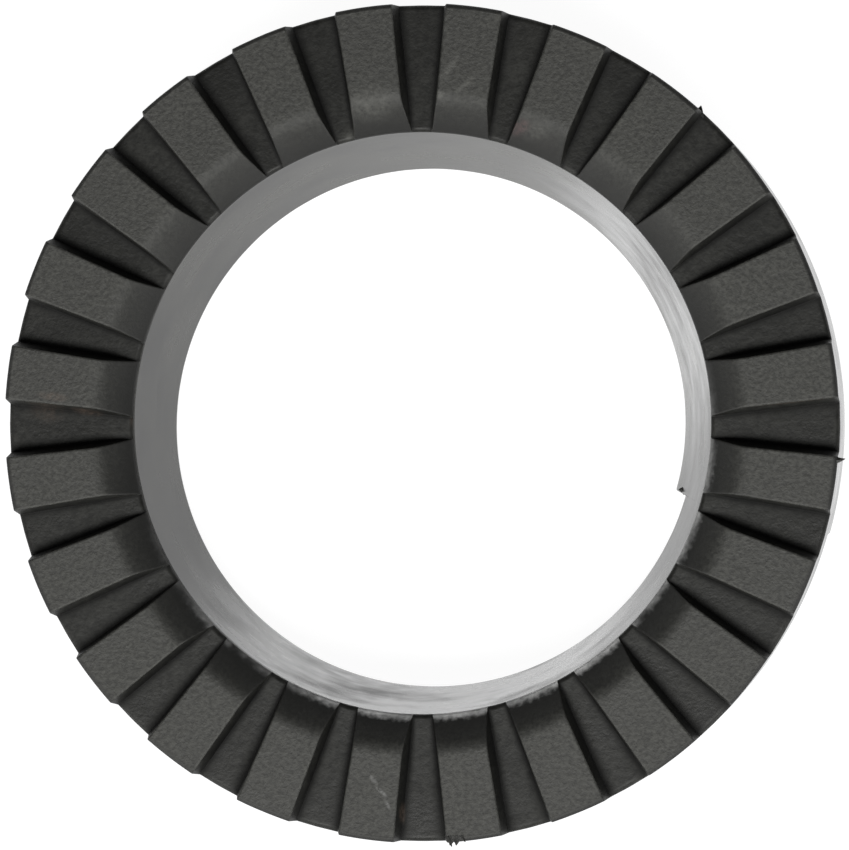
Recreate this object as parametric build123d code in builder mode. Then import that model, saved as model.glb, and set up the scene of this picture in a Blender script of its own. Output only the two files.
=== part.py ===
from build123d import *
from math import radians, tan
import os

# Coil spring insulator: one moulded rubber ring that lies between the end coil of a spring and its seat.
# The ribbed face points to +Z. The origin is on the ring's axis, level with the lowest point of the underside.

# Main sizes of the ring, in millimetres
outer_diameter = 160.0      # across the block tops
ring_width = 24.0           # from the outer wall in to the bore, level with the groove floors
shallow_depth = 17.0        # from a groove floor down to the coil seat at its highest point
coil_rise = 11.0            # climb of the coil seat in one turn, which is also the height of the coil stop
outer_draft = 1.8           # degrees, the outer wall widens towards the underside
bore_draft = 13.0           # degrees, the bore narrows towards the underside
outer_edge_chamfer = 0.5    # small bevel where the block tops meet the outer wall
bore_roll_radius = 7.6      # large rounding where the block tops roll over into the bore

# Raised blocks and the wedge-shaped grooves between them
block_count = 24
block_height = 5.2          # from a groove floor up to the block tops
groove_outer_width = 8.3    # across a groove floor at the outer wall
groove_inner_width = 3.6    # across a groove floor at the bore
groove_draft = 9.5          # degrees, the groove walls lean back from the floor

# Coil seat on the underside
stop_angle = -15.4          # degrees about +Z, place of the coil stop
channel_width = 11.0        # across the mouth of the hollow that the wire lies in
channel_floor_width = 5.0   # across the flat floor of that hollow, between its sloping sides
channel_depth = 2.2         # from the lands beside the hollow up to its floor

# How far the cutting shapes stand clear of the ring
clearance = 2.0

# Heights and radii worked out from the sizes above
floor_height = shallow_depth + coil_rise
top_height = floor_height + block_height
outer_radius = outer_diameter / 2
bore_radius = outer_radius - ring_width
outer_taper = tan(radians(outer_draft))
bore_taper = tan(radians(bore_draft))
base_outer_radius = outer_radius + top_height * outer_taper
base_bore_radius = bore_radius - floor_height * bore_taper
roll_start_radius = bore_radius + (bore_roll_radius**2 - (bore_roll_radius - block_height) ** 2) ** 0.5
channel_path_radius = (base_outer_radius + base_bore_radius) / 2
seat_start = base_bore_radius - clearance
seat_end = base_outer_radius + clearance
groove_start = bore_radius - clearance
groove_end = base_outer_radius + clearance


def groove_half_width(radius):
    """Half of a groove floor's width at this distance from the ring's axis."""
    share = (radius - bore_radius) / (outer_radius - bore_radius)
    return (groove_inner_width + share * (groove_outer_width - groove_inner_width)) / 2


# Space of one groove along +X: wide at the outer wall, narrow at the bore, with drafted walls
with BuildPart() as groove:
    with BuildSketch(Plane.XY.offset(floor_height)):
        Polygon(
            (groove_start, -groove_half_width(groove_start)),
            (groove_end, -groove_half_width(groove_end)),
            (groove_end, groove_half_width(groove_end)),
            (groove_start, groove_half_width(groove_start)),
            align=None,
        )
    extrude(amount=block_height + clearance)
    walls = groove.faces().sort_by(Axis.Y)
    draft([walls[0], walls[-1]], Plane.XY.offset(floor_height), -groove_draft)

# Space below half a turn of the coil seat, with the hollow for the wire standing up into the ring
with BuildPart() as half_seat:
    with BuildLine() as half_coil:
        Helix(coil_rise, coil_rise / 2, channel_path_radius)
    with BuildSketch(Plane.XZ):
        Polygon(
            (seat_start, -coil_rise - clearance),
            (seat_end, -coil_rise - clearance),
            (seat_end, 0),
            (channel_path_radius + channel_width / 2, 0),
            (channel_path_radius + channel_floor_width / 2, channel_depth),
            (channel_path_radius - channel_floor_width / 2, channel_depth),
            (channel_path_radius - channel_width / 2, 0),
            (seat_start, 0),
            align=None,
        )
    sweep(path=half_coil.line, is_frenet=True)

with BuildPart() as insulator_ring:
    # Turned body, as tall as the deep end of the coil seat
    with BuildSketch(Plane.XZ) as body_section:
        with BuildLine():
            outline = Polyline(
                (bore_radius, floor_height),
                (base_bore_radius, 0),
                (base_outer_radius, 0),
                (outer_radius, top_height),
                (roll_start_radius, top_height),
            )
            RadiusArc(outline @ 1, outline @ 0, -bore_roll_radius)
        make_face()
        outer_corner = body_section.vertices().group_by(Axis.Y)[-1].sort_by(Axis.X)[-1]
        chamfer(outer_corner, outer_edge_chamfer)
    revolve(axis=Axis.Z)

    # Grooves all round, which leave the raised blocks between them
    with PolarLocations(0, block_count):
        add(groove.part, mode=Mode.SUBTRACT)

    # Coil seat: from the deep end at the coil stop it climbs half a turn, and then the other half
    first_half = Location((0, 0, 0), (0, 0, stop_angle))
    second_half = Location((0, 0, coil_rise / 2), (0, 0, stop_angle + 180))
    with Locations(first_half, second_half):
        add(half_seat.part, mode=Mode.SUBTRACT)

insulator_ring.part.label = "insulator_ring"

os.makedirs("parts", exist_ok=True)
export_step(insulator_ring.part, "parts/insulator_ring.step")
print("height", round(top_height, 2), "volume cm3", round(insulator_ring.part.volume / 1000, 2))
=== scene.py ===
# %% [markdown]
# Coil spring insulator. On a car this ring of black rubber lies between the end coil of a spring and its
# seat. It is moulded in one shot, so the whole object is one closed mesh. Twenty-four raised blocks stand
# on its upper face with wedge-shaped grooves between them, and its underside climbs once round like the
# spring that it carries.

# %% Tools and the fixed frame
from collections import namedtuple
from math import acos, asin, cos, pi, radians, sin, sqrt, tan

import bpy
from mathutils import Matrix, Vector


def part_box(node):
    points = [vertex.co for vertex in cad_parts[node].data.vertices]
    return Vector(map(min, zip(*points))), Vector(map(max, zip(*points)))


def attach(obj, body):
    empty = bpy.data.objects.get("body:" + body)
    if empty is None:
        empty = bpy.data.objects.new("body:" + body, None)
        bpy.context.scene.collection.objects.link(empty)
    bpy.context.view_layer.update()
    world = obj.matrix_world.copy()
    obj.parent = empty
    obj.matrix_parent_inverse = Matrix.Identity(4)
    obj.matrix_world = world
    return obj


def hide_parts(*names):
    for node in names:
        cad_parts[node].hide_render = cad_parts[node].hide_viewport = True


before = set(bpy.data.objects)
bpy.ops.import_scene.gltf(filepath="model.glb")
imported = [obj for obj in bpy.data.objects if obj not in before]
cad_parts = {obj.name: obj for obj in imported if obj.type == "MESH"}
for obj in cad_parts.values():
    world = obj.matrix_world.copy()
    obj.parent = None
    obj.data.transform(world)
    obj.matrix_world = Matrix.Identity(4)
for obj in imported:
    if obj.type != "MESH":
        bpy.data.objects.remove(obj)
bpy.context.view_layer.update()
ring_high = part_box("insulator_ring")[1]
MM = 0.001
print("highest corner of the ring, mm:", [round(side / MM, 2) for side in ring_high])

# %% [markdown]
# Sizes first. The tallest and the widest points come from the frame, so the ring that is built here
# stands exactly where the solid stands. The others are the ring's own sizes: the blocks, the grooves, the
# tapers that let the rubber out of its mould, and the small roundings that a mould leaves on every edge.

# %% Sizes of the ring, in metres and radians
top_height = ring_high.z
outer_taper = tan(radians(1.8))
bore_draft = radians(13.0)
bore_taper = tan(bore_draft)
base_outer_radius = ring_high.x
outer_radius = base_outer_radius - top_height * outer_taper
bore_radius = outer_radius - 24.0 * MM

block_count = 24
block_height = 5.2 * MM
floor_height = top_height - block_height
groove_outer_width = 8.3 * MM
groove_inner_width = 3.6 * MM
groove_draft = radians(9.5)
roll_tilt = radians(42.0)
roll_radius = 5.0 * MM
slope_length = (block_height - roll_radius * (1 - cos(roll_tilt))) / tan(roll_tilt)
roll_start_radius = bore_radius + slope_length + roll_radius * sin(roll_tilt)
base_bore_radius = bore_radius - floor_height * bore_taper

coil_rise = 11.0 * MM
stop_angle = radians(-15.4)
channel_width = 11.0 * MM
channel_floor_width = 5.0 * MM
channel_depth = 2.2 * MM
channel_radius = (base_outer_radius + base_bore_radius) / 2

edge_rounding = 0.35 * MM
outer_edge_rounding = 0.9 * MM
foot_rounding = 0.2 * MM
rim_rounding = 0.8 * MM
base_rounding = 0.6 * MM
stop_rounding = 0.9 * MM
channel_rounding = 1.0 * MM
lip_height = 0.3 * MM
support_gap = 0.15 * MM
print("outer radius", round(outer_radius / MM, 2), "bore radius", round(bore_radius / MM, 2), "mm")

# %% [markdown]
# The crown repeats every 15 degrees, so only one pitch of it is drawn: half a block, a groove and half a
# block. The pitch is a net. Its rows run round the ring and its columns run round the section. The
# columns follow the foot and the edge of each groove wall, which keeps the walls crisp with few faces, as
# a draughtsman spaces lines close together at a corner and far apart on a flat.

# %% Columns of one pitch
half_pitch = pi / block_count
wall_turn = pi / 2 - groove_draft
arc_steps = 3
block_steps = 4
least_rise = 0.12 * MM
stop_in_pitch = (stop_angle + half_pitch) % (2 * half_pitch) - half_pitch
groove_gather = 0.25    # share of the distances below that is left where the groove leads the columns
# Distances from the coil stop, along the bore, of the columns that crowd round it
stop_offsets_mm = (-0.75, -0.4, -0.15, -0.04, 0.04, 0.15, 0.4, 0.8, 1.4, 2.1, 3.0)
stop_offsets = [offset * MM for offset in stop_offsets_mm]


def groove_half_width(radius):
    """Half of a groove floor's width at this distance from the axis."""
    share = (radius - bore_radius) / (outer_radius - bore_radius)
    return (groove_inner_width + share * (groove_outer_width - groove_inner_width)) / 2


def side_columns(radius, rise):
    """Columns from a groove's foot to the middle of the block, each as an angle and a share of the rise."""
    height = max(rise, least_rise)
    foot = min(foot_rounding, height / 2)
    edge = min(edge_rounding, height / 2)
    foot_start = groove_half_width(radius) - foot * tan(wall_turn / 2)
    edge_end = groove_half_width(radius) + height * tan(groove_draft) + edge * tan(wall_turn / 2)
    points = [(foot_start - min(support_gap, foot / 2), 0.0)]
    for step in range(arc_steps + 1):
        turn = wall_turn * step / arc_steps
        points.append((foot_start + foot * sin(turn), foot * (1 - cos(turn)) / height))
    for step in range(arc_steps, -1, -1):
        turn = wall_turn * step / arc_steps
        points.append((edge_end - edge * sin(turn), 1 - edge * (1 - cos(turn)) / height))
    points.append((edge_end + min(support_gap, edge / 2), 1.0))
    columns = [(asin(across / radius), share) for across, share in points]
    last = columns[-1][0]
    for step in range(1, block_steps + 1):
        columns.append((last + (half_pitch - last) * step / block_steps, 1.0))
    return columns


def pitch_columns(radius, rise, follow):
    """Columns of a pitch on one row. With follow at 1 the groove leads them, at 0 they spread evenly."""
    gather = 1 - (1 - groove_gather) * follow
    middle = [stop_in_pitch + gather * offset / bore_radius for offset in stop_offsets]
    side = side_columns(radius, rise)
    left, right = [], []
    for number, (angle, share) in enumerate(side, start=1):
        even_right = middle[-1] + (half_pitch - middle[-1]) * number / len(side)
        even_left = middle[0] - (half_pitch + middle[0]) * number / len(side)
        right.append((even_right + follow * (angle - even_right), share))
        left.append((even_left - follow * (angle + even_left), share))
    return left[::-1] + [(angle, 0.0) for angle in middle] + right


print("columns in a pitch:", len(pitch_columns(outer_radius, block_height, 1)))

# %% [markdown]
# Each row is known at two places, where it crosses a groove and where it crosses a block, and the columns
# on the groove's wall lie between the two. A row also says how much of the coil's climb its points take,
# from none on the crown to all of it on the underside, and how far they lean as they climb, which keeps
# them on the tapered walls. The grain of the block tops fades along the rows too.

# %% Rows of the section
row_fields = "groove block zone follow lift lean grain lip"
Row = namedtuple("Row", row_fields, defaults=(1.0, 0.0, 0.0, 0.0, 0.0))
CROWN, GROOVE, BORE, SKIN = 0, 1, 2, 3
rows = []


def rounded(before, corner, after, radius):
    """Points of the arc that rounds a corner of the section."""
    before, corner, after = Vector(before), Vector(corner), Vector(after)
    to_before, to_after = (before - corner).normalized(), (after - corner).normalized()
    half_angle = acos(to_before.dot(to_after)) / 2
    centre = corner + (to_before + to_after).normalized() * radius / sin(half_angle)
    first = corner + to_before * radius / tan(half_angle) - centre
    last = corner + to_after * radius / tan(half_angle) - centre
    sweep = pi - 2 * half_angle
    points = []
    for step in range(arc_steps + 1):
        share = step / arc_steps
        turned = first * sin((1 - share) * sweep) + last * sin(share * sweep)
        points.append(centre + turned / sin(sweep))
    return points


def flat(start, end, steps):
    """Points along a straight stretch, with one close to each end to keep the shading of the flat even."""
    gap = (end - start).normalized() * support_gap
    first, last = start + gap, end - gap
    return [first + (last - first) * step / steps for step in range(steps + 1)]


def add_rows(groove_points, block_points, zone, **ends):
    """One row for each pair of points. The named values run evenly from their first to their last."""
    count = len(groove_points) - 1
    for number, (groove, block) in enumerate(zip(groove_points, block_points)):
        values = {name: first + (last - first) * number / count for name, (first, last) in ends.items()}
        rows.append(Row(groove, block, zone, **values))


def outer_wall(height):
    return Vector((outer_radius + (top_height - height) * outer_taper, height))


def bore_wall(height):
    return Vector((bore_radius - (floor_height - height) * bore_taper, height))


def block_roll(radius):
    """The roll-over of a block: an arc, then a slope to the rim, carried on down the wall of the bore."""
    if radius < bore_radius:
        return bore_wall(floor_height - (bore_radius - radius) / bore_taper)
    inward = roll_start_radius - radius
    if inward < roll_radius * sin(roll_tilt):
        return Vector((radius, top_height - roll_radius + sqrt(roll_radius**2 - inward**2)))
    return Vector((radius, floor_height + (radius - bore_radius) * tan(roll_tilt)))


# %% [markdown]
# The section is walked once round: over the crown from the outer wall to the bore, down the bore, out
# along the underside with the hollow that the wire lies in, and up the outer wall again.

# %% Crown, from the outer edge over the blocks and down the roll-over
groove_edge = rounded(outer_wall(0), outer_wall(floor_height), (0, floor_height), outer_edge_rounding)
block_edge = rounded(outer_wall(0), outer_wall(top_height), (0, top_height), outer_edge_rounding)
add_rows(groove_edge, block_edge, CROWN, grain=(0.1, 0.75))

flat_end = Vector((roll_start_radius + support_gap, 0))
flat_start = Vector((block_edge[-1].x, 0))
flat_points = flat(flat_start, flat_end, 7)
groove_flat = [Vector((point.x, floor_height)) for point in flat_points]
block_flat = [Vector((point.x, top_height)) for point in flat_points]
add_rows(groove_flat, block_flat, CROWN, grain=(1, 1))

rim = rounded((outer_radius, floor_height), (bore_radius, floor_height), bore_wall(0), rim_rounding)
roll_steps, slope_steps = 7, 5
roll_turns = [roll_tilt * step / roll_steps for step in range(1, roll_steps + 1)]
roll_radii = [roll_start_radius - roll_radius * sin(turn) for turn in roll_turns]
slope_start, slope_end = roll_radii[-1], rim[0].x + support_gap
slope_shares = [step / slope_steps for step in range(1, slope_steps + 1)]
roll_radii += [slope_start + (slope_end - slope_start) * share for share in slope_shares]
groove_roll = [Vector((radius, floor_height)) for radius in roll_radii]
block_roll_points = [block_roll(radius) for radius in roll_radii]
add_rows(groove_roll, block_roll_points, CROWN, grain=(0.93, 0.4))
add_rows(rim, [block_roll(point.x) for point in rim], CROWN, grain=(0.35, 0.1))
print("rows on the crown:", len(rows))

# %% Bore wall, underside and outer wall
base_inner = Vector((base_bore_radius, 0))
base_outer = outer_wall(0)
half_mouth = channel_width / 2
half_floor = channel_floor_width / 2
channel = [
    base_inner,
    Vector((channel_radius - half_mouth, 0)),
    Vector((channel_radius - half_floor, channel_depth)),
    Vector((channel_radius + half_floor, channel_depth)),
    Vector((channel_radius + half_mouth, 0)),
    base_outer,
]
inner_corner = rounded(bore_wall(floor_height), base_inner, base_outer, base_rounding)
outer_corner = rounded(base_inner, base_outer, outer_wall(floor_height), base_rounding)
lip_gap = (inner_corner[0] - rim[-1]).normalized() * lip_height / 2
lip = [rim[-1] + lip_gap * number for number in (0.5, 1.5, 2.5)]
for point, size in zip(lip, (0.0, 1.0, 0.0)):
    rows.append(Row(point, point, BORE, lip=size))
wall = flat(lip[-1], inner_corner[0], 10)
add_rows(wall, wall, BORE, follow=(1, 0), lift=(0, 1), lean=(bore_taper, bore_taper))
add_rows(inner_corner, inner_corner, SKIN, follow=(0, 0), lift=(1, 1), lean=(bore_taper, bore_taper))

underside = []
for before, corner, after in zip(channel, channel[1:], channel[2:]):
    arc = rounded(before, corner, after, channel_rounding)
    start = underside[-1] if underside else inner_corner[-1]
    underside += flat(start, arc[0], 2) + arc
underside += flat(underside[-1], outer_corner[0], 2)
add_rows(underside, underside, SKIN, follow=(0, 0), lift=(1, 1), lean=(bore_taper, -outer_taper))

add_rows(outer_corner, outer_corner, SKIN, follow=(0, 0), lift=(1, 1), lean=(-outer_taper, -outer_taper))
groove_wall = flat(outer_corner[-1], groove_edge[0], 6)
block_wall = flat(outer_corner[-1], block_edge[0], 6)
add_rows(groove_wall, block_wall, SKIN, follow=(0, 1), lift=(1, 0), lean=(-outer_taper, -outer_taper))
print("rows in the whole section:", len(rows))

# %% [markdown]
# Rows and columns are put together into a mesh. What the node tree and the finishes need to know about a
# point travels with it as an attribute, such as the corner value that marks the foot of each groove wall.
# Each face carries a number for its finish.

# %% Net of the pitch
groove_share = 0.93     # share of a wall's rise below which a face belongs to the groove
foot_share = 0.05       # share of a wall's rise up to which the painted shade at the foot is darkest
wall_corner = 0.3       # corner value of the wall above its foot, where the value is 1


def add_object(name, data):
    """A new object in the scene."""
    added = bpy.data.objects.new(name, data)
    bpy.context.scene.collection.objects.link(added)
    return added


def pitch_mesh():
    """The net as a mesh. Points carry the values of their row, and faces carry the zone of the surface."""
    points, shares = [], []
    carried = {name: [] for name in ("follow", "lift", "lean", "grain", "lip")}
    corners = []
    for row in rows:
        rise = row.block.y - row.groove.y
        columns = pitch_columns(row.block.x, rise, row.follow)
        on_floor = len(columns) // 2 - len(stop_offsets) // 2
        for number, (angle, share) in enumerate(columns):
            radius, height = row.groove.lerp(row.block, share)
            floor_middle = on_floor <= number < on_floor + len(stop_offsets)
            beside_floor = 1.0 if share < foot_share else wall_corner
            corners.append(0.0 if floor_middle else beside_floor)
            points.append((radius * cos(angle), radius * sin(angle), height))
            shares.append(share)
            for name, values in carried.items():
                values.append(getattr(row, name) * (share if name == "grain" else 1.0))
    width = len(points) // len(rows)
    faces, zones = [], []
    for number, row in enumerate(rows):
        here, there = number * width, (number + 1) % len(rows) * width
        for column in range(width - 1):
            faces.append((here + column, there + column, there + column + 1, here + column + 1))
            low = min(shares[here + column], shares[here + column + 1]) < groove_share
            zones.append(GROOVE if row.zone == CROWN and low else row.zone)
    mesh = bpy.data.meshes.new("pitch")
    mesh.from_pydata(points, [], faces)
    for name, values in carried.items():
        mesh.attributes.new(name, "FLOAT", "POINT").data.foreach_set("value", values)
    mesh.attributes.new("corner", "FLOAT", "POINT").data.foreach_set("value", corners)
    mesh.attributes.new("zone", "INT", "FACE").data.foreach_set("value", zones)
    return mesh


pitch = add_object("rubber_ring", pitch_mesh())
print("faces in one pitch:", len(pitch.data.polygons))

# %% [markdown]
# The finishes come next, because the ring's node tree hands them out. An effect that more than one finish
# uses is a shader node group, built once and placed in each material with its own values. A few helpers
# keep that short: they add a node and link or set its inputs by name, add a math node, and open a group
# with named sockets.


# %% Helpers for node trees
def add_node(tree, kind, settings=(), **inputs):
    """A node with its settings, and its inputs linked to a socket or set to a value."""
    node = tree.nodes.new(kind)
    for name, value in dict(settings).items():
        setattr(node, name, value)
    for name, value in inputs.items():
        key = int(name[1:]) if name[1:].isdigit() else name.replace("_", " ")
        if isinstance(value, bpy.types.NodeSocket):
            tree.links.new(value, node.inputs[key])
        else:
            node.inputs[key].default_value = value
    return node


def math_node(tree, operation, *values, clamp=False):
    """A math node. Each value is a socket or a number."""
    inputs = {f"i{number}": value for number, value in enumerate(values)}
    node = add_node(tree, "ShaderNodeMath", {"operation": operation, "use_clamp": clamp}, **inputs)
    return node.outputs[0]


def vector_node(tree, operation, *values):
    """A vector math node. Each value is a socket or a vector, and so is what it gives."""
    inputs = {f"i{number}": value for number, value in enumerate(values)}
    return add_node(tree, "ShaderNodeVectorMath", {"operation": operation}, **inputs).outputs[0]


def scaled(tree, vector, factor):
    """A vector times a number."""
    node = add_node(tree, "ShaderNodeVectorMath", {"operation": "SCALE"}, i0=vector, Scale=factor)
    return node.outputs[0]


def mapped(tree, value, kind="LINEAR", **limits):
    """A value carried over from one range to another."""
    return add_node(
        tree, "ShaderNodeMapRange", {"interpolation_type": kind}, Value=value, **limits,
    ).outputs[0]


def blended(tree, share, first, second):
    """A mix of two colours."""
    mix = add_node(tree, "ShaderNodeMix", {"data_type": "RGBA"}, i0=share, i6=first, i7=second)
    return mix.outputs[2]


def open_group(name, tree_kind, inputs, outputs):
    """An empty node group with named inputs and outputs, and its two end nodes."""
    group = bpy.data.node_groups.new(name, tree_kind)
    for label, kind, value in inputs:
        socket = group.interface.new_socket(label, in_out="INPUT", socket_type=kind)
        if value is not None:
            socket.default_value = value
    for label, kind in outputs:
        group.interface.new_socket(label, in_out="OUTPUT", socket_type=kind)
    return group, group.nodes.new("NodeGroupInput"), group.nodes.new("NodeGroupOutput")


print("helpers ready")

# %% [markdown]
# A mould maker sparks or blasts the cavity of the block tops, so the rubber comes out with a sandy grain
# there. The grain is far finer than any face of the mesh, so it is a height for a bump, made of two sizes
# of noise.


# %% Shared effect: moulded grain
def moulded_grain_group():
    group, given, made = open_group(
        "moulded_grain",
        "ShaderNodeTree",
        [
            ("Vector", "NodeSocketVector", None),
            ("Grains per Metre", "NodeSocketFloat", 1200.0),
            ("Fine Scale", "NodeSocketFloat", 2.7),
            ("Fine Share", "NodeSocketFloat", 0.2),
        ],
        [("Height", "NodeSocketFloat"), ("Peaks", "NodeSocketFloat")],
    )
    grains = given.outputs["Grains per Metre"]
    coarse = add_node(
        group, "ShaderNodeTexNoise",
        Vector=given.outputs["Vector"], Scale=grains, Detail=3.0, Roughness=0.62,
    )
    fine_scale = math_node(group, "MULTIPLY", grains, given.outputs["Fine Scale"])
    fine = add_node(
        group, "ShaderNodeTexNoise",
        Vector=given.outputs["Vector"], Scale=fine_scale, Detail=1.0, Roughness=0.5,
    )
    fine_part = math_node(group, "MULTIPLY", fine.outputs["Fac"], given.outputs["Fine Share"])
    height = math_node(group, "ADD", coarse.outputs["Fac"], fine_part)
    # Peaks is high where the grain stands up; the finishes darken the pits below it as painted shade
    peaks = mapped(group, coarse.outputs["Fac"], From_Min=0.38, From_Max=0.62)
    group.links.new(height, made.inputs["Height"])
    group.links.new(peaks, made.inputs["Peaks"])
    return group


moulded_grain = moulded_grain_group()
print("group", moulded_grain.name, "with", len(moulded_grain.nodes), "nodes")

# %% [markdown]
# Old rubber is never one flat black. One soft noise blends a dark colour into a paler one, and its value
# goes out of the group as well, so that a finish can let its gloss change with the same clouds.


# %% Shared effect: tone of the rubber
def rubber_tone_group():
    group, given, made = open_group(
        "rubber_tone",
        "ShaderNodeTree",
        [
            ("Vector", "NodeSocketVector", None),
            ("Dark", "NodeSocketColor", (0.02, 0.02, 0.019, 1.0)),
            ("Pale", "NodeSocketColor", (0.04, 0.04, 0.038, 1.0)),
            ("Clouds per Metre", "NodeSocketFloat", 90.0),
        ],
        [("Color", "NodeSocketColor"), ("Clouds", "NodeSocketFloat")],
    )
    clouds = add_node(
        group, "ShaderNodeTexNoise",
        Vector=given.outputs["Vector"], Scale=given.outputs["Clouds per Metre"],
        Detail=6.0, Roughness=0.62,
    )
    spread = mapped(group, clouds.outputs["Fac"], From_Min=0.36, From_Max=0.66)
    colour = blended(group, spread, given.outputs["Dark"], given.outputs["Pale"])
    group.links.new(colour, made.inputs["Color"])
    group.links.new(spread, made.inputs["Clouds"])
    return group


rubber_tone = rubber_tone_group()
print("group", rubber_tone.name, "with", len(rubber_tone.nodes), "nodes")

# %% [markdown]
# Handling leaves its own marks: a dusty spot, a pale scratch, a rust-brown line where dirt sat in a
# corner. Each of them is one smudge, a mask that fills a ball round a point, fades towards its rim and is
# broken up by noise. A Mapping node in front of it places, turns and stretches the ball, so one group
# serves them all.


# %% Shared effect: smudge
def smudge_group():
    group, given, made = open_group(
        "smudge",
        "ShaderNodeTree",
        [
            ("Vector", "NodeSocketVector", None),
            ("Place", "NodeSocketVector", None),
            ("Spots per Metre", "NodeSocketFloat", 500.0),
            ("Amount", "NodeSocketFloat", 1.0),
        ],
        [("Mask", "NodeSocketFloat")],
    )
    distance = add_node(group, "ShaderNodeVectorMath", {"operation": "LENGTH"}, i0=given.outputs["Place"])
    ball = mapped(group, distance.outputs["Value"], "SMOOTHSTEP", From_Min=1.0, From_Max=0.2)
    spots = add_node(
        group, "ShaderNodeTexNoise",
        Vector=given.outputs["Vector"], Scale=given.outputs["Spots per Metre"], Detail=3.0, Roughness=0.6,
    )
    broken = mapped(group, spots.outputs["Fac"], From_Min=0.3, From_Max=0.62)
    mask = math_node(group, "MULTIPLY", ball, broken)
    amount = math_node(group, "MULTIPLY", mask, given.outputs["Amount"])
    group.links.new(amount, made.inputs["Mask"])
    return group


smudge = smudge_group()
print("group", smudge.name, "with", len(smudge.nodes), "nodes")

# %% [markdown]
# Every finish of the ring starts from the same bare material: a Principled shader and Object coordinates,
# which stay with the rubber when the view changes. What a finish adds are the shared groups, and colours
# that a mask lays over each other.


# %% Materials: what they share
def new_material(name):
    """A material with a Principled shader, and the coordinates that its patterns read."""
    material = bpy.data.materials.new(name)
    material.use_nodes = True
    tree = material.node_tree
    tree.nodes.clear()
    output = add_node(tree, "ShaderNodeOutputMaterial")
    shader = add_node(tree, "ShaderNodeBsdfPrincipled")
    tree.links.new(shader.outputs["BSDF"], output.inputs["Surface"])
    place = add_node(tree, "ShaderNodeTexCoord").outputs["Object"]
    return material, tree, shader, place


def grouped(tree, group, **inputs):
    """One use of a shared effect in a material."""
    return add_node(tree, "ShaderNodeGroup", {"node_tree": group}, **inputs)


def painted(tree, colour, mask, paint):
    """A colour with a paint laid over it where the mask is."""
    return blended(tree, mask, colour, (*paint, 1.0))


def placed_smudge(tree, place, centre, size, turn=0.0, **inputs):
    """A smudge at a point of the ring, with a size along each of its own axes, turned about the upright."""
    mapping = add_node(
        tree, "ShaderNodeMapping", {"vector_type": "TEXTURE"},
        Vector=place, Location=centre, Rotation=(0.0, 0.0, turn), Scale=size,
    )
    inputs.setdefault("Vector", place)
    return grouped(tree, smudge, Place=mapping.outputs[0], **inputs).outputs[0]


def bumped(tree, shader, height, strength, depth):
    """Give a shader the bumps of a height."""
    bump = add_node(tree, "ShaderNodeBump", Height=height, Strength=strength, Distance=depth)
    tree.links.new(bump.outputs["Normal"], shader.inputs["Normal"])


def ball_of(size_mm):
    """The size of a round smudge, the same along all its axes."""
    return (size_mm * MM, size_mm * MM, size_mm * MM)


def grey(value, warmth=0.12):
    """A grey that leans to the olive side, as old rubber does."""
    return (value, value, value * (1 - warmth), 1.0)


rubber_glint = (1.0, 1.0, 0.97, 1.0)
print("material helpers ready")

# %% [markdown]
# The marks are a short list, because each of them is one smudge with a place, a size, a turn and a paint.
# They are this ring's own wear, so they were put where the real ring has them, and a plain list is
# easier to change than a rule would be.


# %% Marks of handling
def marked(tree, place, colour, marks):
    """A colour with marks laid over it. Each has its x and y, length, width, turn, amount and paint."""
    for x, y, length, width, turn, amount, paint in marks:
        size = (length * MM, width * MM, 2 * block_height)
        spots = 900.0 if width > 0.9 else 1700.0
        mask = placed_smudge(
            tree, place, (x * MM, y * MM, top_height), size, radians(turn),
            Spots_per_Metre=spots, Amount=amount,
        )
        colour = painted(tree, colour, mask, paint)
    return colour


dust = (0.10, 0.10, 0.09)
scuff = (0.20, 0.20, 0.195)
rust = (0.080, 0.058, 0.044)
pink = (0.075, 0.045, 0.045)
block_marks = [
    (-8.5, 61.0, 6.5, 4.5, 10, 0.35, dust),
    (6.5, 67.5, 4.5, 1.0, 56, 0.45, dust),
    (9.5, 64.4, 4.0, 0.8, 41, 0.4, dust),
    (4.3, 62.5, 1.6, 1.2, 0, 0.5, dust),
    (22.7, 55.5, 4.0, 2.6, 10, 0.3, dust),
    (19.6, 56.2, 3.0, 2.0, 20, 0.6, pink),
    (-8.1, -68.0, 1.6, 0.6, -50, 0.45, scuff),
    (-6.6, -70.2, 1.9, 0.5, -40, 0.6, scuff),
    (-5.5, -72.5, 1.7, 0.5, -66, 0.4, scuff),
    (-15.4, -73.8, 1.4, 0.5, 10, 0.5, scuff),
    (-70.2, 5.1, 4.0, 1.2, -9, 0.5, rust),
]
groove_marks = [
    (69.5, 4.0, 13.0, 0.45, 6, 0.9, rust),
    (-72.5, 2.0, 5.5, 3.2, 0, 0.4, rust),
    (-64.5, 2.1, 4.5, 1.0, -8, 0.7, rust),
    (-55.2, 0.2, 1.8, 2.2, 0, 0.6, rust),
    (-3.0, -74.8, 0.7, 3.0, 0, 0.8, rust),
    (-13.5, 55.3, 2.4, 2.0, 0, 0.6, dust),
]
print("marks:", len(block_marks), "on the blocks and", len(groove_marks), "in the grooves")
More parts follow.
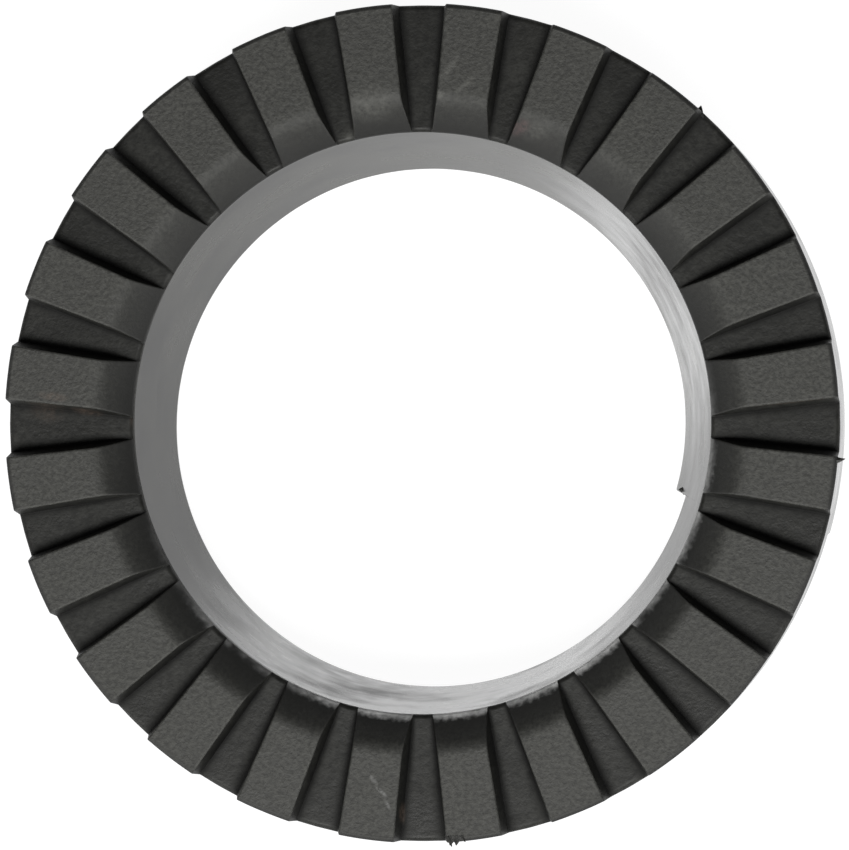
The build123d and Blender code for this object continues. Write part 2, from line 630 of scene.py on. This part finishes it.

# %% [markdown]
# The block tops are dull. Their grain is the height of a bump, and shade is also painted into its pits. It
# fades and the colour deepens where the roll-over leans towards the bore, because the mould is smoother
# there.
# Next to the bore, on the near side, the last bit of the slope is painted pale: partly dust, and partly a
# painted reflection of the white sheet.


# %% Finish of the block tops and the roll-over
def rim_dust_and_reflection(tree, place):
    """Mask of the pale rim paint on the near side, with a torn edge: partly dust, partly painted
    reflection.
    """
    level = vector_node(tree, "MULTIPLY", place, (1.0, 1.0, 0.0))
    radius = add_node(tree, "ShaderNodeVectorMath", {"operation": "LENGTH"}, i0=level).outputs["Value"]
    torn = add_node(tree, "ShaderNodeTexNoise", Vector=place, Scale=1000.0, Detail=3.0).outputs["Fac"]
    ragged = math_node(tree, "MULTIPLY_ADD", torn, 1.6 * MM, radius)
    near_rim = mapped(
        tree, ragged, "SMOOTHSTEP", From_Min=bore_radius + 2.3 * MM, From_Max=bore_radius + 0.2 * MM,
    )
    side = placed_smudge(
        tree, place, (12 * MM, -42 * MM, floor_height), ball_of(76.0), Spots_per_Metre=120.0, Amount=1.3,
    )
    return math_node(tree, "MULTIPLY", near_rim, side, clamp=True)


def block_material():
    material, tree, shader, place = new_material("block_rubber")
    grain_share = add_node(tree, "ShaderNodeAttribute", {"attribute_name": "grain"}).outputs["Fac"]
    tone = grouped(tree, rubber_tone, Vector=place, Dark=grey(0.029), Pale=grey(0.042))
    grain = grouped(tree, moulded_grain, Vector=place)
    # Shade painted into the pits of the grain
    pit_shaded = blended(tree, grain.outputs["Peaks"], grey(0.018), tone.outputs["Color"])
    level_share = mapped(tree, grain_share, From_Min=0.4, From_Max=0.95, To_Min=0.04)
    colour = blended(tree, level_share, grey(0.002), pit_shaded)
    handled = marked(tree, place, colour, block_marks)
    # Pale paint at the end of the roll-over: partly dust, partly a painted reflection of the white sheet
    rim_painted = painted(tree, handled, rim_dust_and_reflection(tree, place), (0.55, 0.55, 0.54))
    tree.links.new(rim_painted, shader.inputs["Base Color"])
    rough = mapped(tree, tone.outputs["Clouds"], To_Min=0.58, To_Max=0.66)
    tree.links.new(rough, shader.inputs["Roughness"])
    shader.inputs["IOR"].default_value = 1.46
    shader.inputs["Specular Tint"].default_value = rubber_glint
    grain_height = math_node(tree, "MULTIPLY", grain.outputs["Height"], grain_share)
    bumped(tree, shader, grain_height, strength=0.7, depth=0.2 * MM)
    return material


block_rubber = block_material()
print("material", block_rubber.name)

# %% [markdown]
# The grooves are darker and smoother than the block tops, because nothing roughened the mould there. Shade
# is painted along the foot of each wall, as a darker colour with a duller gloss. The mesh knows where that
# is, so the painted shade follows an attribute of the points and needs no placing by hand.


# %% Finish of the grooves
def groove_material():
    material, tree, shader, place = new_material("groove_rubber")
    tone = grouped(
        tree, rubber_tone, Vector=place, Dark=grey(0.010), Pale=grey(0.021), Clouds_per_Metre=70.0,
    )
    grain = grouped(tree, moulded_grain, Vector=place, Grains_per_Metre=800.0)
    # Shade painted into the pits of the grain
    colour = blended(tree, grain.outputs["Peaks"], grey(0.008), tone.outputs["Color"])
    corner = add_node(tree, "ShaderNodeAttribute", {"attribute_name": "corner"}).outputs["Fac"]
    # Painted shade along the foot of each wall, and a duller gloss there
    foot_shade = math_node(tree, "MULTIPLY", math_node(tree, "POWER", corner, 3.0), 0.75)
    foot_shaded = painted(tree, colour, foot_shade, (0.003, 0.003, 0.003))
    tree.links.new(marked(tree, place, foot_shaded, groove_marks), shader.inputs["Base Color"])
    rough = mapped(tree, tone.outputs["Clouds"], To_Min=0.42, To_Max=0.56)
    dulled = math_node(tree, "MULTIPLY_ADD", foot_shade, 0.4, rough)
    tree.links.new(dulled, shader.inputs["Roughness"])
    shader.inputs["IOR"].default_value = 1.32
    shader.inputs["Specular Tint"].default_value = rubber_glint
    bumped(tree, shader, grain.outputs["Height"], strength=0.9, depth=0.1 * MM)
    return material


groove_rubber = groove_material()
print("material", groove_rubber.name)

# %% [markdown]
# The bore is where the rubber slides off the core of the mould. That leaves it smooth, with faint streaks
# that run round it, and a thin film of mould release and dust that is thickest on one side. The film is a
# coat over the rubber and a pale colour under the coat, both held by one mask. The pale colour is partly
# that dust and partly a painted reflection of the white sheet.

# %% Finish of the bore
film_height = 17.0 * MM


def bore_material():
    material, tree, shader, place = new_material("bore_rubber")
    streaked = vector_node(tree, "MULTIPLY", place, (1.0, 1.0, 3.0))
    tone = grouped(
        tree, rubber_tone, Vector=streaked, Dark=grey(0.010), Pale=grey(0.045), Clouds_per_Metre=45.0,
    )
    thick = placed_smudge(
        tree, place, (3.0 * MM, -52.0 * MM, film_height), ball_of(60.0),
        Vector=streaked, Spots_per_Metre=45.0, Amount=1.5,
    )
    thin = placed_smudge(
        tree, place, (47.0 * MM, 24.0 * MM, film_height), ball_of(42.0),
        Vector=streaked, Spots_per_Metre=60.0, Amount=0.6,
    )
    film = math_node(tree, "MAXIMUM", thick, thin, clamp=True)
    # Pale colour of the film: partly dust, partly a painted reflection of the white sheet
    pale_film_and_reflection = grouped(
        tree, rubber_tone,
        Vector=streaked, Dark=(0.26, 0.27, 0.27, 1.0), Pale=(0.42, 0.425, 0.425, 1.0),
        Clouds_per_Metre=90.0,
    )
    colour = blended(tree, film, tone.outputs["Color"], pale_film_and_reflection.outputs["Color"])
    tree.links.new(colour, shader.inputs["Base Color"])
    tree.links.new(film, shader.inputs["Coat Weight"])
    shader.inputs["Coat IOR"].default_value = 2.2
    shader.inputs["Coat Roughness"].default_value = 0.2
    shader.inputs["IOR"].default_value = 1.53
    rough = mapped(tree, tone.outputs["Clouds"], To_Min=0.18, To_Max=0.3)
    tree.links.new(rough, shader.inputs["Roughness"])
    ridges = grouped(tree, moulded_grain, Vector=streaked, Grains_per_Metre=120.0)
    bumped(tree, shader, ridges.outputs["Height"], strength=0.3, depth=0.05 * MM)
    return material


bore_rubber = bore_material()
print("material", bore_rubber.name)

# %% [markdown]
# The outer wall and the underside were pressed against polished steel. They are the darkest and glossiest
# rubber of the ring, with only a faint grain.


# %% Finish of the outer wall and the underside
def skin_material():
    material, tree, shader, place = new_material("skin_rubber")
    tone = grouped(
        tree, rubber_tone, Vector=place, Dark=(0.010, 0.010, 0.011, 1.0), Pale=(0.018, 0.018, 0.019, 1.0),
    )
    tree.links.new(tone.outputs["Color"], shader.inputs["Base Color"])
    rough = mapped(tree, tone.outputs["Clouds"], To_Min=0.14, To_Max=0.26)
    tree.links.new(rough, shader.inputs["Roughness"])
    shader.inputs["IOR"].default_value = 1.5
    grain = grouped(tree, moulded_grain, Vector=place, Grains_per_Metre=600.0)
    bumped(tree, shader, grain.outputs["Height"], strength=0.3, depth=0.1 * MM)
    return material


skin_rubber = skin_material()
print("material", skin_rubber.name)

# %% [markdown]
# Now the ring. Geometry Nodes set the pitch 24 times round the axis and weld the seams. Then the coil
# seat climbs: every point moves up by its share of a height that grows evenly with the angle from the
# coil stop, as the thread of a screw does. A third step sets the pattern of blocks a little off centre,
# as it is on this ring, then come the thin lip where the mould parted and the slight waviness of real
# rubber, and the last steps hand out the finishes.


# %% Tree of the ring
def corner_drop(tree, distance, radius):
    """How far a rounded corner lies from its sharp edge at this distance along the surface."""
    inside = math_node(tree, "MAXIMUM", math_node(tree, "SUBTRACT", radius, distance), 0.0)
    radius_squared = math_node(tree, "POWER", radius, 2.0)
    inside_squared = math_node(tree, "POWER", inside, 2.0)
    chord = math_node(tree, "SUBTRACT", radius_squared, inside_squared)
    reach = math_node(tree, "SQRT", math_node(tree, "MAXIMUM", chord, 0.0))
    return math_node(tree, "SUBTRACT", radius, reach)


def dot_product(tree, first, second):
    node = add_node(tree, "ShaderNodeVectorMath", {"operation": "DOT_PRODUCT"}, i0=first, i1=second)
    return node.outputs["Value"]


def named_value(tree, name, data_type="FLOAT"):
    node = add_node(tree, "GeometryNodeInputNamedAttribute", {"data_type": data_type}, Name=name)
    return node.outputs["Attribute"]


lip_azimuth = radians(200)
lip_direction = (cos(lip_azimuth), sin(lip_azimuth), 0.0)
wave_seed = 7.0


def ring_tree():
    tree, given, made = open_group(
        "ring_from_pitch",
        "GeometryNodeTree",
        [
            ("Geometry", "NodeSocketGeometry", None),
            ("Blocks", "NodeSocketInt", block_count),
            ("Coil Rise", "NodeSocketFloat", coil_rise),
            ("Stop Angle", "NodeSocketFloat", stop_angle),
            ("Deep Rounding", "NodeSocketFloat", stop_rounding),
            ("Shallow Rounding", "NodeSocketFloat", base_rounding),
            ("Seat Radius", "NodeSocketFloat", channel_radius),
            ("Pattern Turn", "NodeSocketFloat", radians(0.11)),
            ("Pattern Shift", "NodeSocketVector", (0.61 * MM, -0.82 * MM, 0.0)),
            ("Quarter Widening", "NodeSocketFloat", 0.15 * MM),
            ("Side Widening", "NodeSocketFloat", 0.35 * MM),
            ("Lip", "NodeSocketFloat", 0.25 * MM),
            ("Waviness", "NodeSocketFloat", 0.08 * MM),
            ("Waves per Metre", "NodeSocketFloat", 160.0),
            ("Seed", "NodeSocketFloat", wave_seed),
        ],
        [("Geometry", "NodeSocketGeometry")],
    )

    # The pitch, repeated round the axis and welded
    points = add_node(tree, "GeometryNodePoints", Count=given.outputs["Blocks"])
    index = add_node(tree, "GeometryNodeInputIndex").outputs["Index"]
    turn = math_node(tree, "DIVIDE", math_node(tree, "MULTIPLY", index, 2 * pi), given.outputs["Blocks"])
    rotation = add_node(tree, "ShaderNodeCombineXYZ", Z=turn)
    placed = add_node(
        tree, "GeometryNodeInstanceOnPoints",
        Points=points.outputs[0], Instance=given.outputs["Geometry"], Rotation=rotation.outputs[0],
    )
    real = add_node(tree, "GeometryNodeRealizeInstances", Geometry=placed.outputs[0])
    welded = add_node(tree, "GeometryNodeMergeByDistance", Geometry=real.outputs[0], Distance=0.002 * MM)

    # The height of the coil seat at each angle, with rounded corners at the coil stop
    position = add_node(tree, "GeometryNodeInputPosition").outputs[0]
    parts = add_node(tree, "ShaderNodeSeparateXYZ", Vector=position)
    angle = math_node(tree, "ARCTAN2", parts.outputs["Y"], parts.outputs["X"])
    past_stop = math_node(tree, "SUBTRACT", angle, given.outputs["Stop Angle"])
    climbed = math_node(tree, "WRAP", past_stop, 2 * pi, 0.0)
    climbed_share = math_node(tree, "DIVIDE", climbed, 2 * pi)
    even_height = math_node(tree, "MULTIPLY", climbed_share, given.outputs["Coil Rise"])
    after = math_node(tree, "MULTIPLY", climbed, given.outputs["Seat Radius"])
    still_to_climb = math_node(tree, "SUBTRACT", 2 * pi, climbed)
    before = math_node(tree, "MULTIPLY", still_to_climb, given.outputs["Seat Radius"])
    deep_corner = corner_drop(tree, after, given.outputs["Deep Rounding"])
    shallow_corner = corner_drop(tree, before, given.outputs["Shallow Rounding"])
    raised = math_node(tree, "ADD", even_height, deep_corner)
    height = math_node(tree, "SUBTRACT", raised, shallow_corner)
    climb = math_node(tree, "MULTIPLY", height, named_value(tree, "lift"))

    # Up by the climb, and outwards by the lean of the wall
    level = add_node(tree, "ShaderNodeCombineXYZ", X=parts.outputs["X"], Y=parts.outputs["Y"])
    outward = vector_node(tree, "NORMALIZE", level.outputs[0])
    leaning = scaled(tree, outward, named_value(tree, "lean"))
    move = scaled(tree, vector_node(tree, "ADD", leaning, (0.0, 0.0, 1.0)), climb)
    seated = add_node(tree, "GeometryNodeSetPosition", Geometry=welded.outputs[0], Offset=move)

    # The pattern of blocks, turned and shifted a little on the round body
    around = vector_node(tree, "CROSS_PRODUCT", level.outputs[0], given.outputs["Pattern Shift"])
    sideways = add_node(tree, "ShaderNodeSeparateXYZ", Vector=around).outputs["Z"]
    slip = math_node(tree, "DIVIDE", sideways, dot_product(tree, level.outputs[0], level.outputs[0]))

    # The four grooves where the quarters of the mould met are wider, most of all the two at the sides
    quarter = math_node(tree, "WRAP", angle, pi / 4, -pi / 4)
    beside = math_node(tree, "LESS_THAN", math_node(tree, "ABSOLUTE", quarter), half_pitch)
    spread = math_node(tree, "SINE", math_node(tree, "MULTIPLY", quarter, float(block_count)))
    across = add_node(tree, "ShaderNodeSeparateXYZ", Vector=outward).outputs["X"]
    across_squared = math_node(tree, "POWER", across, 2.0)
    at_side = math_node(tree, "MULTIPLY", across_squared, given.outputs["Side Widening"])
    widened = math_node(tree, "ADD", at_side, given.outputs["Quarter Widening"])
    opened = math_node(tree, "MULTIPLY", math_node(tree, "MULTIPLY", widened, spread), beside)
    opened_turn = math_node(tree, "DIVIDE", opened, given.outputs["Seat Radius"])

    own_turn = math_node(tree, "ADD", slip, opened_turn)
    pattern_turn = math_node(tree, "ADD", own_turn, given.outputs["Pattern Turn"])
    turned_by = math_node(tree, "MULTIPLY", pattern_turn, named_value(tree, "follow"))
    turned = add_node(
        tree, "ShaderNodeVectorRotate", {"rotation_type": "Z_AXIS"},
        Vector=position, Center=(0.0, 0.0, 0.0), Angle=turned_by,
    )
    patterned = add_node(
        tree, "GeometryNodeSetPosition", Geometry=seated.outputs[0], Position=turned.outputs[0],
    )

    # Waviness, and the lip along the rim, which is thickest on one side
    noise = add_node(
        tree, "ShaderNodeTexNoise", {"noise_dimensions": "4D"},
        Vector=position, W=given.outputs["Seed"], Scale=given.outputs["Waves per Metre"], Detail=2.0,
    )
    centred = vector_node(tree, "SUBTRACT", noise.outputs["Color"], (0.5, 0.5, 0.5))
    wave = scaled(tree, centred, given.outputs["Waviness"])
    lip_side = dot_product(tree, outward, lip_direction)
    lip_share = mapped(tree, lip_side, From_Min=0.6, To_Min=0.15)
    lip_shape = math_node(tree, "MULTIPLY", lip_share, named_value(tree, "lip"))
    lip_depth = math_node(tree, "MULTIPLY", lip_shape, given.outputs["Lip"])
    lip_move = scaled(tree, outward, math_node(tree, "MULTIPLY", lip_depth, -1.0))
    both = vector_node(tree, "ADD", wave, lip_move)
    shaped = add_node(tree, "GeometryNodeSetPosition", Geometry=patterned.outputs[0], Offset=both)

    # Finishes, by the zone of each face
    finished = shaped.outputs[0]
    zones = ((CROWN, block_rubber), (GROOVE, groove_rubber), (BORE, bore_rubber), (SKIN, skin_rubber))
    for number, material in zones:
        chosen = add_node(
            tree, "FunctionNodeCompare", {"data_type": "INT", "operation": "EQUAL"},
            i2=named_value(tree, "zone", "INT"), i3=number,
        )
        dressed = add_node(
            tree, "GeometryNodeSetMaterial",
            Geometry=finished, Selection=chosen.outputs[0], Material=material,
        )
        finished = dressed.outputs[0]
    tree.links.new(finished, made.inputs[0])
    return tree


# %% [markdown]
# The tree is given to the pitch as a modifier, and its seed is set by the identifier of its socket. The
# evaluated object is then turned into a plain mesh and the modifier removed, so that the ring doesn't
# depend on the tree any more.

# %% Ring
modifier = pitch.modifiers.new("ring", "NODES")
modifier.node_group = ring_tree()
sockets = {item.name: item.identifier for item in modifier.node_group.interface.items_tree}
modifier[sockets["Seed"]] = wave_seed
depsgraph = bpy.context.evaluated_depsgraph_get()
ring_mesh = bpy.data.meshes.new_from_object(pitch.evaluated_get(depsgraph))
pitch.modifiers.clear()
pitch.data = ring_mesh
ring = pitch
ring_mesh.polygons.foreach_set("use_smooth", [True] * len(ring_mesh.polygons))
for name in ("follow", "lift", "lean", "lip", "zone"):
    ring_mesh.attributes.remove(ring_mesh.attributes[name])
print("ring:", len(ring_mesh.vertices), "points and", len(ring_mesh.polygons), "faces")
print("finishes:", [material.name for material in ring_mesh.materials if material])

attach(ring, "root")
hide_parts("insulator_ring")

# %% [markdown]
# Rubber that was pressed into a joint of the mould comes out as flash. Most of it is trimmed off, and a
# few scraps are left: a thorn on the right, a small wedge in the corner of a groove, a ragged scab below,
# and one at the coil stop. Each is a flat tongue of four-sided sections that shrink from its root, sunk
# into the ring, to its tip.

# %% Flash
width_loss = 0.93           # share of its width that a tongue of flash loses from root to tip
thickness_loss = 0.7        # share of its thickness that it loses
edge_root = 79.4 * MM       # distance from the axis of the roots at the outer edge
scab_root = 78.7 * MM

# Each tooth of the scab has its angle in degrees, and its reach, width and lean in millimetres
scab_teeth = [
    (-85.4, 2.1, 1.6, 0.4),
    (-85.0, 1.8, 2.6, -0.5),
    (-84.3, 1.9, 2.4, -0.3),
    (-83.6, 1.4, 1.8, 0.5),
]


def add_flash(points, faces, root, outward, reach, width, lean=0.0, thickness=0.3 * MM, steps=5):
    """One tongue of flash, added to a list of points and a list of faces."""
    first = len(points)
    up = Vector((0, 0, 1))
    sideways = up.cross(outward)
    for step in range(steps + 1):
        share = step / steps
        across = sideways * (width / 2 * (1 - width_loss * share))
        through = up * (thickness / 2 * (1 - thickness_loss * share))
        middle = root + outward * reach * share + sideways * lean * share**2
        points += [middle - across, middle - through, middle + across, middle + through]
    for step in range(steps):
        here = first + 4 * step
        for side in range(4):
            after = (side + 1) % 4
            faces.append((here + side, here + 4 + side, here + 4 + after, here + after))
    faces.append((first, first + 1, first + 2, first + 3))
    last = first + 4 * steps
    faces.append((last + 3, last + 2, last + 1, last))


def outward_at(degrees):
    return Vector((cos(radians(degrees)), sin(radians(degrees)), 0))


def at_height(direction, radius, height):
    return direction * radius + Vector((0, 0, height))


def flash_object():
    points, faces = [], []
    thorn = outward_at(-5.0)
    root = at_height(thorn, edge_root, top_height - 0.45 * MM)
    add_flash(points, faces, root, thorn, 2.0 * MM, 1.6 * MM, 0.4 * MM)
    wedge = outward_at(47.7)
    root = at_height(wedge, edge_root, floor_height)
    add_flash(points, faces, root, wedge, 1.5 * MM, 2.6 * MM, 0.7 * MM)
    for degrees, reach, width, lean in scab_teeth:
        tooth = outward_at(degrees)
        root = at_height(tooth, scab_root, top_height - 0.15 * MM)
        add_flash(points, faces, root, tooth, reach * MM, width * MM, lean * MM, thickness=0.6 * MM)
    stop_scrap = outward_at(-14.7)
    scrap_height = 6.5 * MM
    root = at_height(stop_scrap, bore_wall(scrap_height).x + 0.6 * MM, scrap_height)
    add_flash(points, faces, root, -stop_scrap, 1.25 * MM, 2.0 * MM, 0.2 * MM)
    mesh = bpy.data.meshes.new("mould_flash")
    mesh.from_pydata(points, [], faces)
    mesh.materials.append(groove_rubber)
    return add_object("mould_flash", mesh)


flash = flash_object()
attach(flash, "root")
print("flash:", len(flash.data.polygons), "faces")

# %% [markdown]
# The ring lies on a plain white sheet. To the camera, and in reflections, the sheet is bright; to the
# light it is only a pale matt surface, so it adds no more light to the rubber than paper would. A low
# wall of the same paper stands far round it and closes the view from the side.


# %% Floor and backdrop
def paper_material():
    material = bpy.data.materials.new("white_paper")
    material.use_nodes = True
    tree = material.node_tree
    tree.nodes.clear()
    paths = add_node(tree, "ShaderNodeLightPath").outputs
    seen = math_node(tree, "MAXIMUM", paths["Is Camera Ray"], paths["Is Glossy Ray"])
    seen = math_node(tree, "MAXIMUM", seen, paths["Is Transmission Ray"])
    matt = add_node(tree, "ShaderNodeBsdfDiffuse", Color=(0.15, 0.15, 0.15, 1.0))
    glow = add_node(tree, "ShaderNodeEmission", Color=(0.95, 0.95, 0.95, 1.0))
    bright = add_node(tree, "ShaderNodeAddShader", i0=matt.outputs[0], i1=glow.outputs[0])
    plain = add_node(tree, "ShaderNodeBsdfDiffuse", Color=(0.8, 0.8, 0.8, 1.0))
    mix = add_node(tree, "ShaderNodeMixShader", i0=seen, i1=plain.outputs[0], i2=bright.outputs[0])
    output = add_node(tree, "ShaderNodeOutputMaterial")
    tree.links.new(mix.outputs[0], output.inputs["Surface"])
    return material


def paper_sheet():
    """A round sheet whose rim sweeps up into a low wall."""
    wall_radius, wall_height, bend, bend_steps = 3.0, 0.42, 0.12, 8
    profile = [(wall_radius - bend, 0.0)]
    for step in range(1, bend_steps + 1):
        turn = pi / 2 * step / bend_steps
        profile.append((wall_radius - bend + bend * sin(turn), bend * (1 - cos(turn))))
    profile.append((wall_radius, wall_height))
    around = 96
    points, faces = [(0.0, 0.0, 0.0)], []
    for radius, height in profile:
        for step in range(around):
            angle = 2 * pi * step / around
            points.append((radius * cos(angle), radius * sin(angle), height))
    for step in range(around):
        after = (step + 1) % around
        faces.append((0, 1 + step, 1 + after))
        for ring_number in range(len(profile) - 1):
            low, high = 1 + ring_number * around, 1 + (ring_number + 1) * around
            faces.append((low + step, high + step, high + after, low + after))
    mesh = bpy.data.meshes.new("paper")
    mesh.from_pydata(points, [], faces)
    mesh.materials.append(paper_material())
    mesh.polygons.foreach_set("use_smooth", [True] * len(faces))
    return add_object("paper_floor", mesh)


paper_gap = 0.15 * MM       # the sheet lies a hair lower than the slightly wavy underside
floor = paper_sheet()
floor.location.z = -paper_gap
print("floor", floor.name)

# %% [markdown]
# The photograph is taken from almost straight above with a long lens, and leans a little from the ring's
# right. So the camera looks down a given direction at the ring's centre, and its shift moves the centre
# to its place in the picture.

# %% Camera
image_width, image_height = 849, 850
ring_centre = Vector((0, 0, floor_height))
view_direction = Vector((0.117, -0.001, 1)).normalized()
camera_distance = 0.7
focal_pixels = 3653
centre_seen_at = (419.1, 423.2)

camera_data = bpy.data.cameras.new("camera")
camera = add_object("camera", camera_data)
right = (Vector((1, 0, 0)) - view_direction * view_direction.x).normalized()
up = view_direction.cross(right)
camera.matrix_world = Matrix.Translation(ring_centre + view_direction * camera_distance) @ Matrix(
    (right, up, view_direction)
).transposed().to_4x4()
camera_data.lens = focal_pixels / image_height * camera_data.sensor_width
camera_data.shift_x = (image_width / 2 - centre_seen_at[0]) / image_height
camera_data.shift_y = (centre_seen_at[1] - image_height / 2) / image_height
bpy.context.scene.camera = camera
print("camera at", [round(value, 3) for value in camera.matrix_world.translation])

# %% [markdown]
# One softbox hangs high up, over the near edge of the ring. It lights the block tops and leaves the
# groove walls that face away from it dark. Two low ones stand in front, to the left and the right, and
# brighten the upright walls that face them. A dim room fills the rest.


# %% Lights
def softbox(name, azimuth, elevation, distance, width, height, watts):
    """A flat lamp that faces the ring. Azimuth is counted from the near side, -Y, round to +X."""
    turn, lift = radians(azimuth), radians(elevation)
    direction = Vector((sin(turn) * cos(lift), -cos(turn) * cos(lift), sin(lift)))
    data = bpy.data.lights.new(name, "AREA")
    data.shape = "RECTANGLE"
    data.size = width
    data.size_y = height
    data.energy = watts
    lamp = add_object(name, data)
    lamp.location = ring_centre + direction * distance
    lamp.rotation_mode = "QUATERNION"
    lamp.rotation_quaternion = direction.to_track_quat("Z", "Y")
    lamp.visible_camera = False
    return lamp


lamps = [softbox("key_softbox", azimuth=0, elevation=66, distance=2.2, width=1.9, height=0.6, watts=56)]
for name, azimuth in (("left_softbox", -45), ("right_softbox", 45)):
    lamps.append(softbox(name, azimuth, elevation=18, distance=2.0, width=1.4, height=0.8, watts=18))
world = bpy.data.worlds.new("dim_room")
world.use_nodes = True
world.node_tree.nodes["Background"].inputs["Color"].default_value = (0.07, 0.07, 0.072, 1.0)
bpy.context.scene.world = world
print("lights:", [lamp.name for lamp in lamps], "and", world.name)

# %% [markdown]
# The colours are shown as they are written, without a film look.

# %% Picture settings
bpy.context.scene.view_settings.view_transform = "Standard"
